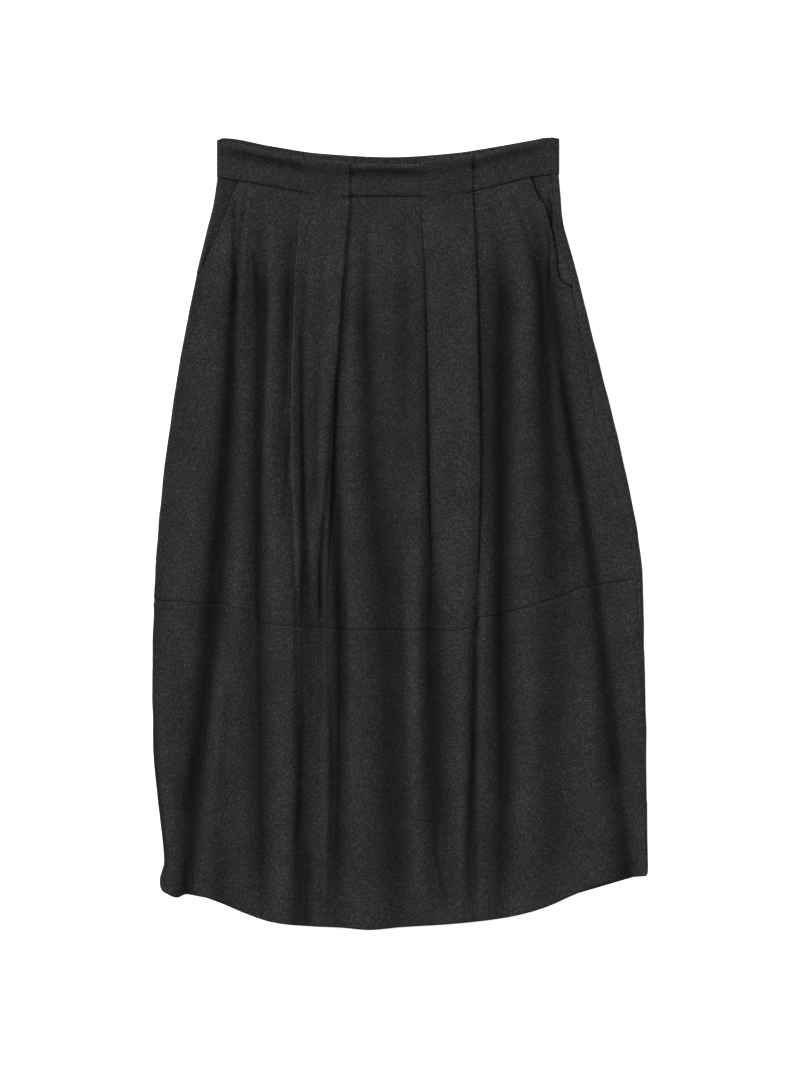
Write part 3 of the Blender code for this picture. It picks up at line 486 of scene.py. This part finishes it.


# ---- Creases too small for the solids ----
# Each runs along a line of points (x, y). Depth is how far the cloth goes down, and shade how much shade is
# painted into the wool's colour there, both less than 0 where it swells instead
Crease = namedtuple("Crease", "name width depth shade line")
CREASES = (
    Crease("left pleat's left notch", 1.5, 1.4, 0.5, ((-105, 358), (-95, 357))),
    Crease("left pleat's right notch", 1.5, 1.4, 0.5, ((-61, 353.6), (-52, 353))),
    Crease("right pleat's left notch", 1.5, 1.4, 0.5, ((23, 353.2), (34, 354.4))),
    Crease("right pleat's right notch", 1.5, 1.4, 0.5, ((65, 356.5), (75, 358.4))),
    Crease("under the left mouth", 3.0, 1.3, 0.6, ((-173.5, 352), (-173.5, 320), (-173.5, 240))),
    Crease("flank trough's floor", 5.0, 0.6, 0.4,
           ((-174, 270), (-176, 225), (-178.5, 171), (-184, 109), (-194, -38), (-199.5, -91), (-202, -175),
            (-215, -248), (-226, -301))),
    Crease("flank's inner slope", 7.0, -0.5, -0.32,
           ((-180, 275), (-187, 240), (-194, 171), (-204, 66), (-212, -40), (-219, -150), (-229, -260))),
    Crease("hip crease", 4.5, 0.6, 0.3, ((-155, 302), (-145, 235))),
    Crease("beside the left pleat", 6.0, 0.5, 0.2, ((-110, 330), (-116, 270), (-119, 200))),
    Crease("rise of the pleat trough", 5.0, -0.3, -0.22, ((-119, 150), (-113, 90), (-109, 40))),
    Crease("left pleat's outer edge", 2.8, 0.6, 0.5,
           ((-103, -30), (-102.5, -95), (-102, -200), (-103.5, -300), (-104.5, -395))),
    Crease("left pleat's outer edge, running out", 2.2, 0.6, 0.4, ((-115, 120), (-117.5, 80), (-122, 15))),
    Crease("beside the left pleat's crease", 3.4, -0.3, -0.3, ((-108.5, 95), (-107.5, 20), (-107, -60))),
    Crease("left pleat's crease", 2.6, 0.7, 0.4, ((-104, 215), (-103, 100), (-102.5, 0), (-102.5, -92))),
    Crease("left pleat's rounded edge", 2.6, -0.2, -0.15, ((-112, 230), (-112.5, 110))),
    Crease("floor of the hip tuck", 3.2, 0.5, 0.26,
           ((-152, 295), (-148, 210), (-149, 100), (-149.5, 0), (-149, -90))),
    Crease("left pleat's face", 5.0, -0.6, -0.35,
           ((-88, 40), (-92, -40), (-95, -95), (-94.5, -200), (-94, -330))),
    Crease("left pleat's inner edge", 2.6, 0.7, 0.5,
           ((-67, 175), (-71, 119), (-75, 66), (-80, 14), (-82.5, -28), (-84, -86))),
    Crease("left pleat's slit", 1.7, 1.3, 0.6, ((-80, 20), (-83.5, -30), (-83.5, -88))),
    Crease("right of the slit", 5.5, 0.5, 0.42, ((-69, 75), (-67.5, 20), (-65.5, -40), (-62, -95))),
    Crease("below the left pleat", 5.0, 0.5, 0.3, ((-62, -50), (-58, -100), (-57, -200))),
    Crease("centre hollow", 9.0, 0.3, 0.22, ((-36, 240), (-33, 150), (-31, 70), (-18, -60))),
    Crease("right pleat's inner edge", 2.6, 0.4, 0.4,
           ((27, 300), (31, 100), (35, -100), (38, -240), (37, -335), (50, -396))),
    Crease("right of the centre", 7.0, 0.3, 0.26, ((33, -50), (36, -110), (37, -200), (41, -310))),
    Crease("right pleat's outer edge, above", 3.0, 0.4, 0.35, ((78, 300), (80, 250), (82, 190), (82.5, 110))),
    Crease("deep trough's floor", 6.5, 0.3, 0.3,
           ((110, 250), (109, 170), (107, 80), (105, -20), (104, -100), (106, -200), (111, -290))),
    Crease("right pleat's outer edge", 3.0, 0.5, 0.35,
           ((81, -70), (78, -110), (75.3, -240), (72, -340), (74, -398))),
    Crease("behind the right mouth", 5.0, 0.6, 0.3, ((139, 345), (145, 300), (149, 240))),
    Crease("thigh trough's floor", 6.0, 0.4, 0.24,
           ((149, 240), (145, 190), (152, 85), (157, -20), (158, -60))),
    Crease("start of the side trough", 2.2, 0.5, 0.12, ((155, 262), (158, 228), (164, 190), (171, 150))),
    Crease("beside the right mouth", 1.8, 1.0, 0.5, ((156.5, 320), (156.5, 280), (156, 230))),
    Crease("end of the right mouth", 1.5, 0.8, 0.3, ((166, 270), (173, 260))),
    Crease("pucker under it", 2.4, 0.7, 0.2, ((160, 262), (172, 256))),
    Crease("side trough's floor", 5.4, 0.7, 0.5,
           ((169, 165), (174, 135), (182, 90), (191, 35), (201.5, -28), (212, -120), (220.5, -185),
            (228, -260))),
    Crease("side ridge's inner slope", 6.0, -0.4, -0.2,
           ((178, 190), (187, 130), (204, 20), (214, -60), (224, -130))),
    Crease("zip's upper line", 1.4, 0.35, 0.12, ((171.8, 300), (174.8, 262))),
    Crease("zip's lower line", 1.4, 0.35, 0.12, ((177.2, 282), (182, 246))),
    Crease("edge of the pocket bag", 1.8, 0.45, 0.12, ((108, 94), (228, 92.5))),
    Crease("slit at the hem", 1.6, 1.5, 0.6, ((-225, -340), (-224, -360), (-222.5, -384))),
)
INSIDE_RIGHT_MOUTH = Crease("slit inside the right mouth", 1.9, 1.0, 0.9,
                            ((155.5, 356), (158, 343), (160, 322)))
# A crease fades to this share at its ends, over a quarter of its length or the distance given
CREASE_END, CREASE_FADE = 0.3, 25


def creased(x, y, kind="depth", creases=CREASES):
    """The creases' depths, or the shade they paint into the wool's colour, at these points. Each fades away
    from its line and to its ends.
    """
    total = np.zeros_like(x)
    for crease in creases:
        line = np.array(crease.line, float)
        ways = np.concatenate([[0], np.cumsum(np.hypot(*np.diff(line, axis=0).T))])
        away, along = np.full(x.shape, np.inf), np.zeros_like(x)
        for (x_from, y_from), (dx, dy), way, length in zip(line, np.diff(line, axis=0), ways, np.diff(ways)):
            t = np.clip(((x - x_from) * dx + (y - y_from) * dy) / length**2, 0, 1)
            gap = np.hypot(x - x_from - t * dx, y - y_from - t * dy)
            along = np.where(gap < away, way + t * length, along)
            away = np.minimum(away, gap)
        fade = np.minimum(along, ways[-1] - along) / max(min(ways[-1] / 4, CREASE_FADE), 1)
        fade = np.clip(fade + CREASE_END, 0, 1)
        total += getattr(crease, kind) * fade * np.exp(-((away / crease.width) ** 2))
    return total


# ---- Relief: how far the cloth stands out of its smooth form; and the shade painted into its folds ----
# Waves of the unevenness, as (length, height, direction), and how far and how fast they bend
RUMPLES = ((83, 0.22, 0.3), (47, 0.15, 1.9), (31, 0.10, 2.6), (19, 0.06, 0.9), (11, 0.035, 2.2))
BEND, BEND_RATE = 1.7, 2.3
LOW_ROLL = (0.6, 1.0)  # the depth and width of the roll at a hem or a side edge
SEAM_RISE, SEAM_RISE_AT, SEAM_RISE_WIDTH = 0.25, 4.5, 2.8
# Painted shade beside the waist seam, and how far it reaches
SEAM_PAINTED_SHADE, SEAM_REACH = 0.35, 2.2
# The depth under its ridges at which a fold gets its fullest painted shade, by level; how far away its
# ridges are looked for; how their heights are evened out, as spread and taps; and the cloth's half width
HOLLOW_DEPTH = curve(((0, 30), (0.1, 16), (0.26, 6.5), (0.6, 8.0), (1, 8.0), (1.45, 7.5), (1.8, 4.0),
                      (2, 2.2)))
RIDGE_REACH, RIDGE_SPREAD, RIDGE_TAPS, HALF_WIDTH = 26, 9.0, 24, 262


def rumple(x, y):
    """Faint unevenness all over, as cloth has when it has been laid out by hand."""
    relief = np.zeros_like(x)
    for length, height, turn in RUMPLES:
        way = x * math.cos(turn) + y * math.sin(turn)
        side = y * math.cos(turn) - x * math.sin(turn)
        bend = BEND * np.sin(side / length * BEND_RATE + turn * 5)
        relief += height * np.sin(way * 2 * math.pi / length + bend)
    return relief


def seam_roll(distance, depth=0.9, width=1.3):
    """Cloth rolls down into a seam, and stands up a little beside it."""
    beside = SEAM_RISE * np.exp(-(((distance - SEAM_RISE_AT) / SEAM_RISE_WIDTH) ** 2))
    return -depth * np.exp(-((distance / width) ** 2)) + beside


def side_distance(rows):
    """How far each point is from its row's nearer end, measured over the cloth."""
    step = np.linalg.norm(np.diff(rows, axis=1), axis=2)
    way = np.concatenate([np.zeros((len(rows), 1)), np.cumsum(step, axis=1)], axis=1)
    return np.minimum(way, way[:, -1:] - way)


def evened_out(shares):
    """The same shares, evened out along the cloth's length and a little across it."""
    for axis, spread in ((0, 3), (1, 1)):
        weights = np.exp(-((np.arange(-3 * spread, 3 * spread + 1) / spread) ** 2) / 2)
        weights /= weights.sum()
        pad = [(3 * spread, 3 * spread) if a == axis else (0, 0) for a in (0, 1)]
        padded = np.pad(shares, pad, "edge")
        size = shares.shape[axis]
        shares = sum(w * np.take(padded, range(i, i + size), axis) for i, w in enumerate(weights))
    return shares


def painted_shading(rows, levels):
    """The shade painted into each point's colour: by how deep it lies under the ridges beside it, by the
    creases, and beside the waist seam."""
    grid = np.arange(-HALF_WIDTH, HALF_WIDTH + 1.0)
    shares = np.zeros(rows.shape[:2])
    near = np.exp(-((np.arange(-RIDGE_TAPS, RIDGE_TAPS + 1) / RIDGE_SPREAD) ** 2))
    near /= near.sum()
    for share, row, level in zip(shares, rows, levels):
        between = np.arange(0, len(row), 0.25)
        x, z = (np.interp(between, np.arange(len(row)), row[:, i]) for i in (0, 2))
        top = np.zeros(len(grid))
        np.maximum.at(top, np.clip(np.round(x + HALF_WIDTH).astype(int), 0, len(grid) - 1), z)
        padded = np.pad(top, RIDGE_REACH, "edge")
        ridge = np.max([padded[i : i + len(grid)] for i in range(2 * RIDGE_REACH + 1)], axis=0)
        ridge = np.convolve(np.pad(ridge, RIDGE_TAPS, "edge"), near, "valid")
        share[:] = np.clip((np.interp(row[:, 0], grid, ridge) - row[:, 2]) / HOLLOW_DEPTH(level), 0, 1)
    x, y = rows[:, :, 0], rows[:, :, 1]
    shade = evened_out(shares) + creased(x, y, "shade")
    if levels[0] == 0:
        shade += SEAM_PAINTED_SHADE * np.exp(-(((rows[0, :, 1] - y) / SEAM_REACH) ** 2))
    return np.clip(shade, 0, 1)


def panel_relief(rows, bottom_roll=()):
    """The relief of a front panel, which rolls at its seams above and below and at its sides."""
    x, y = rows[:, :, 0], rows[:, :, 1]
    relief = rumple(x, y) - creased(x, y)
    relief += seam_roll(np.abs(rows[0, :, 1] - y))
    relief += seam_roll(np.abs(y - rows[-1, :, 1]), *bottom_roll)
    return relief + seam_roll(side_distance(rows), *LOW_ROLL)


# ---- Pieces ----


def tab_cells(stretches):
    """The stretches of the front that run on up over the waistband, at each pleat."""
    columns, at, inside = set(), 0, False
    for name, points in stretches:
        if name in ("left pleat outer", "right pleat inner"):
            inside = True
            columns |= set(range(at + len(points) - 1 - ARC_STEPS, at + len(points) - 1))
        elif name in ("left pleat inner", "right pleat outer"):
            inside = False
            columns |= set(range(at, at + ARC_STEPS))
        elif inside:
            columns |= set(range(at, at + len(points) - 1))
        at += len(points) - 1
    return columns


def front_upper(looks):
    """The front's upper panel, with the tabs of its pleats above the waist seam."""
    stretches = front_section(0)
    kept_columns = tab_cells(stretches)
    points = np.array(joined(stretches), float)
    rows = panel(front_points, UPPER_ROWS, waist_seam, knee_seam, 0, 1)
    relief = panel_relief(rows)
    columns = np.array([c in kept_columns for c in range(rows.shape[1] - 1)])
    under_tab = np.concatenate([columns, [False]]) | np.concatenate([[False], columns])
    relief[:, under_tab] -= seam_roll(np.abs(rows[0, :, 1] - rows[:, :, 1]))[:, under_tab]
    shares = np.linspace(1, 0, TAB_ROWS + 1)[:-1]
    x = points[:, 0]
    tab = np.array([
        np.stack([x, mix(waist_seam(x), front_rim(x), s) + TAB_OVER * s, points[:, 1] + TAB_RISE * s], 1)
        for s in shares
    ])
    tab_relief = rumple(tab[:, :, 0], tab[:, :, 1]) - creased(tab[:, :, 0], tab[:, :, 1])
    tab_relief += tab_roll(shares)[:, None]
    # Shade painted across the tabs, darkest in the groove under the rim
    painted_tab_shade = np.broadcast_to(tab_painted_shade(shares)[:, None], tab_relief.shape)
    kept = np.ones((len(rows) + TAB_ROWS - 1, rows.shape[1] - 1), bool)
    kept[:TAB_ROWS] = columns
    return cloth(
        "front_upper_cloth", np.concatenate([tab, rows]), SHELL, looks,
        np.concatenate([tab_relief, relief]), kept, np.concatenate([painted_tab_shade, painted_shading(rows, UPPER_ROWS)]),
    )


def front_lower(looks):
    rows = panel(front_points, LOWER_ROWS, knee_seam, hem, 1, 2)
    relief = panel_relief(rows, bottom_roll=LOW_ROLL)
    return cloth("front_lower_cloth", rows, SHELL, looks, relief, hollow=painted_shading(rows, LOWER_ROWS))


def back_hem(x):
    """The back's hem, which stays hidden behind the front's."""
    inward = np.minimum(x - left_out(2), right_out(2) - x)
    return hem(x) + BACK_HEM_LIFT * np.clip(inward / BACK_HEM_FADE, 0, 1)


def back_panels(looks):
    """The back's two panels, the upper one with the tabs of its pleats."""
    upper = panel(back_section, UPPER_ROWS[::2], waist_seam, back_knee_seam, 0, 1)
    x, z = upper[0, :, 0], upper[0, :, 2]
    tab = np.array([
        np.stack([x, mix(waist_seam(x), back_rim(x), s), z + min(BACK_TAB_SLOPE * s, 1) * BACK_TAB_RISE], 1)
        for s in np.linspace(1, 0, BACK_TAB_ROWS + 1)[:-1]
    ])
    middle, flat = (x[:-1] + x[1:]) / 2, z == BACK_Z
    columns = np.zeros(len(middle), bool)
    for left, right in BACK_PLEATS:
        columns |= (middle > left) & (middle < right) & flat[:-1] & flat[1:]
    kept = np.ones((len(upper) + BACK_TAB_ROWS - 1, len(middle)), bool)
    kept[:BACK_TAB_ROWS] = columns
    relief = np.concatenate([np.zeros(tab.shape[:2]), back_relief(upper)])
    lower = panel(back_section, LOWER_ROWS[::2], back_knee_seam, back_hem, 1, 2)
    return [
        cloth("back_upper_cloth", np.concatenate([tab, upper]), SHELL, looks, relief, kept),
        cloth("back_lower_cloth", lower, SHELL, looks, back_relief(lower)),
    ]


def back_relief(rows):
    """The back's relief is only where it turns up over the right edge: it is flat where it rests."""
    x, y, z = rows[:, :, 0], rows[:, :, 1], rows[:, :, 2]
    turned = np.clip((z - BACK_Z - TURNED_UP) / TURNED_UP, 0, 1)
    relief = -(rumple(x, y) + seam_roll(side_distance(rows), *LOW_ROLL))
    return relief * turned


def band_end(right, front):
    """The waistband's cloth round a side edge, from its seam to where it lies flat."""
    radius = (BAND_FRONT_Z - BAND_BACK_Z) / 2
    quarter = math.pi * radius / 2
    out, seam = (right_out(0), way_to(right_seam_in(0), radius)) if right else (left_out(0), 0)
    shares = [i / EDGE_STEPS for i in range(EDGE_STEPS + 1)]
    if front:
        ways = [mix(seam + GAP, max(quarter, seam + LEAST_WRAP), s) for s in shares]
    elif right:
        ways = [mix(seam - GAP, 0, s) for s in shares] + [-quarter * s for s in shares[1:]]
    else:
        ways = [-mix(GAP, quarter, s) for s in shares]
    return [(out + (-inset if right else inset), z) for inset, z in
            (rolled_edge(way, radius, BAND_BACK_Z) for way in ways)]


def band(name, section, rim, looks, rolled):
    """A waistband section, with rows from the rim down to the waist seam. The front's are rolled, with shade
    painted along the roll.
    """
    x, z = np.array(section, float).T
    shares = np.linspace(1, 0, BAND_ROWS + 1)
    rows = np.array([np.stack([x, mix(waist_seam(x) + GAP / 2, rim(x), s), z], 1) for s in shares])
    relief, shade = np.zeros(rows.shape[:2]), np.zeros(rows.shape[:2])
    if rolled:
        fade = np.clip(side_distance(rows) / BAND_FADE, 0, 1)
        strong = np.interp(x, *zip(*BAND_STRENGTH))
        uneven = rumple(rows[:, :, 0], rows[:, :, 1]) * BAND_RUMPLE
        relief = (band_roll(shares)[:, None] * strong + uneven) * fade
        # Painted shade along the waist seam and in the groove under the rim
        shade = band_painted_shade(shares)[:, None] * strong
    return cloth(name, rows, BAND, looks, relief, hollow=shade)


def waistband(looks):
    """The waistband's sections. The front's run in under the pleats' tabs, and the back's touch them."""
    edge_x = {name: float(edge.x(0)) for name, edge in EDGE_CURVES.items()}
    front_tabs = (
        (edge_x["left pleat outer"] + BAND_UNDERLAP, edge_x["left pleat inner"] - BAND_UNDERLAP),
        (edge_x["right pleat inner"] + BAND_UNDERLAP, edge_x["right pleat outer"] - BAND_UNDERLAP),
    )
    made = {}
    for side, tabs, rim, height, steps in (
        ("front", front_tabs, front_rim, BAND_FRONT_Z, BAND_STEPS),
        ("back", BACK_PLEATS, back_rim, BAND_BACK_Z, BACK_BAND_STEPS),
    ):
        front = side == "front"
        left, right = band_end(False, front), band_end(True, front)
        (left_to, centre_from), (centre_to, right_from) = tabs
        spans = {
            "left": (left[-1][0], left_to), "centre": (centre_from, centre_to),
            "right": (right_from, right[-1][0]),
        }
        for place, span in spans.items():
            section = [(x, height) for x in np.linspace(*span, steps + 1)]
            if place == "left":
                section = left + section[1:]
            if place == "right":
                section = section[:-1] + right[::-1]
            node = f"band_{side}_{place}"
            made[node] = band(f"{node}_cloth", section, rim, looks, rolled=front)
    return made


def facing_drop(level, last_level, right):
    """How far a facing lies under the front at its pocket's mouth."""
    if not right:
        return LEFT_FACING_DROP
    from_ends = min(UPPER_DROP_RATE * level, LOWER_DROP_RATE * (last_level - level))
    return RIGHT_FACING_DROP * min(END_DROP + from_ends, 1)


def facing(name, last_level, right, looks):
    """The cloth inside a pocket's mouth, from the side seam in under the front."""
    mouth, out = (right_mouth, right_out) if right else (left_mouth, left_out)
    levels = np.linspace(0, last_level, FACING_ROWS)
    edge = out(0) - right_seam_in(0) if right else out(0)
    first, last = waist_seam(edge), knee_seam(out(1))
    rows = []
    for level in levels:
        radius = float(side_radius(level))
        seam = way_to(right_seam_in(level) if right else 0, radius) + GAP / 2
        flat = max(seam + LEAST_WRAP, math.pi * radius / 2)
        opening = way_to(mouth(level), radius)
        inner = opening + FACING_UNDERLAP
        drop = curve([
            (flat - 0.01, 0),
            (max(opening - DROP_BEFORE, flat + DROP_PAST), facing_drop(level, last_level, right)),
            (inner, BACK_Z + 2 * radius - FACING_Z),
        ], level_ends=True)
        row = []
        for way in [*np.linspace(seam, flat, FACING_SIDE_STEPS), *np.linspace(flat, inner, FACING_STEPS)[1:]]:
            inset, z = rolled_edge(way, radius, BACK_Z)
            x = out(level) + (-inset if right else inset)
            y = mix(waist_seam(x) - FACING_TOP_GAP if level == 0 else first, last, level)
            row.append((x, y, z - (drop(way) if way > flat else 0)))
        rows.append(row)
    rows = np.array(rows, float)
    into = np.stack([
        np.clip((np.abs(row[:, 0] - out(level)) - mouth(level) + FACING_UNDERLAP) / FACING_UNDERLAP, 0, 1)
        for level, row in zip(levels, rows)
    ])
    # Painted shade inside the pocket's mouth, most near the waist
    painted_shade_levels = RIGHT_PAINTED_SHADE_LEVELS if right else LEFT_PAINTED_SHADE_LEVELS
    hollow = into * np.clip(FACING_PAINTED_SHADE - levels / painted_shade_levels, *FACING_PAINTED_SHADE_BOUNDS)[:, None]
    if right:
        rows, hollow = rows[:, ::-1], hollow[:, ::-1]
    x, y = rows[:, :, 0], rows[:, :, 1]
    relief = rumple(x, y) * FACING_RUMPLE - creased(x, y, "depth", [INSIDE_RIGHT_MOUTH])
    # and the painted shade of the slit inside the right mouth
    hollow = np.clip(hollow + creased(x, y, "shade", [INSIDE_RIGHT_MOUTH]), 0, 1)
    return cloth(name, rows, SHELL, looks, relief, hollow=hollow)


# ---- Wool flannel ----
# Noises added up for the melange: scale along x, y and z, detail, roughness, range read, and strength
NOISES = (
    ((620, 520, 620), 3.0, 0.7, (0.32, 0.68), 0.5),  # flecks
    ((900, 420, 900), 2.0, 0.6, (0.3, 0.7), 0.3),  # fibres
    ((420, 900, 420), 2.0, 0.6, (0.3, 0.7), 0.25),  # slubs
    ((28, 22, 28), 3.0, 0.6, (0.3, 0.7), 0.12),  # clouds
)
TONE_RANGE = 0.9  # of the sum, to each side of 0
TONES = (  # place on the ramp and colour, for its two ends and then the middle
    (0.05, (0.0072, 0.0072, 0.0073, 1)),
    (0.95, (0.0605, 0.0605, 0.060, 1)),
    (0.5, (0.0198, 0.0198, 0.0198, 1)),
)
PAINTED_SHADE_LIGHTNESS = 0.26  # painted shade: how light the wool's colour is drawn at the bottom of a deep trough, beside its ridges
FLECK_BUMP, FLECK_HEIGHT = 0.5, 0.0006  # how strong, and how high in metres
NAP = {
    "Roughness": 0.9, "Specular IOR Level": 0.08, "Sheen Weight": 0.04, "Sheen Roughness": 0.6,
    "Sheen Tint": (0.6, 0.6, 0.6, 1),
}


def set_inputs(node, values):
    """Sets a shader node's inputs by their names."""
    for name, value in values.items():
        node.inputs[name].default_value = value


def wool():
    made = bpy.data.materials.new("wool_flannel_melange")
    made.use_nodes = True
    nodes, links = made.node_tree.nodes, made.node_tree.links
    shader = nodes["Principled BSDF"]
    where = nodes.new("ShaderNodeTexCoord")

    def noise(scale, detail, roughness):
        stretch = nodes.new("ShaderNodeMapping")
        set_inputs(stretch, {"Scale": scale})
        links.new(where.outputs["Object"], stretch.inputs["Vector"])
        texture = nodes.new("ShaderNodeTexNoise")
        set_inputs(texture, {"Scale": 1, "Detail": detail, "Roughness": roughness})
        links.new(stretch.outputs["Vector"], texture.inputs["Vector"])
        return texture.outputs["Fac"]

    def added(a, b):
        node = nodes.new("ShaderNodeMath")
        node.operation = "ADD"
        links.new(a, node.inputs[0])
        links.new(b, node.inputs[1])
        return node.outputs["Value"]

    def spread(value, low, high, to_low, to_high):
        node = nodes.new("ShaderNodeMapRange")
        links.new(value, node.inputs["Value"])
        set_inputs(node, {"From Min": low, "From Max": high, "To Min": to_low, "To Max": to_high})
        return node.outputs["Result"]

    layers = [spread(noise(*kind), *seen, -strength, strength) for *kind, seen, strength in NOISES]
    tone = layers[0]
    for layer in layers[1:]:
        tone = added(tone, layer)
    ramp = nodes.new("ShaderNodeValToRGB")
    places = ramp.color_ramp.elements
    for i, (at, color) in enumerate(TONES):
        place = places[i] if i < len(places) else places.new(at)
        place.position, place.color = at, color
    links.new(spread(tone, -TONE_RANGE, TONE_RANGE, 0, 1), ramp.inputs["Fac"])
    # Painted shade: the colour is darkened by the mesh's hollow attribute, down to the lightness set above
    # where it is 1
    depth = nodes.new("ShaderNodeAttribute")
    depth.attribute_name = "hollow"
    colour_with_painted_shade = nodes.new("ShaderNodeMix")
    colour_with_painted_shade.data_type, colour_with_painted_shade.blend_type = "RGBA", "MULTIPLY"
    set_inputs(colour_with_painted_shade, {"Factor": 1.0})
    links.new(ramp.outputs["Color"], colour_with_painted_shade.inputs["A"])
    links.new(spread(depth.outputs["Fac"], 0, 1, 1, PAINTED_SHADE_LIGHTNESS), colour_with_painted_shade.inputs["B"])
    links.new(colour_with_painted_shade.outputs["Result"], shader.inputs["Base Color"])
    bump = nodes.new("ShaderNodeBump")
    set_inputs(bump, {"Strength": FLECK_BUMP, "Distance": FLECK_HEIGHT})
    links.new(tone, bump.inputs["Height"])
    links.new(bump.outputs["Normal"], shader.inputs["Normal"])
    set_inputs(shader, NAP)
    return made


# ---- Floor, light and camera ----
FLOOR_SIZE, FLOOR_DROP = 60, 0.0002  # in metres
PAPER = {
    "Base Color": (0.92, 0.92, 0.92, 1), "Roughness": 0.9, "Emission Color": (1, 1, 1, 1),
    "Emission Strength": 0.7,
}
# Where the two suns shine from and how strongly, their width in degrees, and the sky's strength
KEY_FROM, KEY = (-0.814, 0.296, 0.500), 3.55
SECOND_FROM, SECOND = (0.814, 0.296, 0.500), 1.25
SOFTNESS, SKY = 16, 0.4
CAMERA_HEIGHT = 3.2
PHOTO_LONG_SIDE = 1067 * 1.05 * MM  # the picture's height in pixels, at 1.05 mm to a pixel


def stage():
    bpy.ops.mesh.primitive_plane_add(size=FLOOR_SIZE, location=(0, 0, -FLOOR_DROP))
    floor = bpy.context.object
    floor.name = "floor"
    paper = bpy.data.materials.new("floor_white")
    paper.use_nodes = True
    set_inputs(paper.node_tree.nodes["Principled BSDF"], PAPER)
    floor.data.materials.append(paper)


def sun(name, toward, strength):
    light = bpy.data.lights.new(name, "SUN")
    light.energy, light.angle = strength, math.radians(SOFTNESS)
    lamp = bpy.data.objects.new(name, light)
    lamp.rotation_euler = Vector([-c for c in toward]).to_track_quat("-Z", "Y").to_euler()
    bpy.context.scene.collection.objects.link(lamp)


def light_and_camera():
    scene = bpy.context.scene
    world = bpy.data.worlds.new("studio")
    world.use_nodes = True
    set_inputs(world.node_tree.nodes["Background"], {"Color": (1, 1, 1, 1), "Strength": SKY})
    scene.world = world
    sun("key", KEY_FROM, KEY)
    sun("second", SECOND_FROM, SECOND)
    camera = bpy.data.objects.new("camera", bpy.data.cameras.new("camera"))
    camera.data.lens = camera.data.sensor_width * CAMERA_HEIGHT / PHOTO_LONG_SIDE
    camera.location = (0, 0, CAMERA_HEIGHT)
    scene.collection.objects.link(camera)
    scene.camera = camera
    scene.view_settings.view_transform = "Standard"


def main():
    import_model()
    looks = wool()
    pieces = {"front_upper": front_upper(looks), "front_lower": front_lower(looks), **waistband(looks)}
    pieces["back_upper"], pieces["back_lower"] = back_panels(looks)
    pieces["pocket_facing_left"] = facing("pocket_facing_left_cloth", LEFT_FACING_END, False, looks)
    pieces["pocket_facing_right"] = facing("pocket_facing_right_cloth", RIGHT_FACING_END, True, looks)
    for node, piece in pieces.items():
        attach(piece, "root")
        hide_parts(node)
    stage()
    light_and_camera()


main()
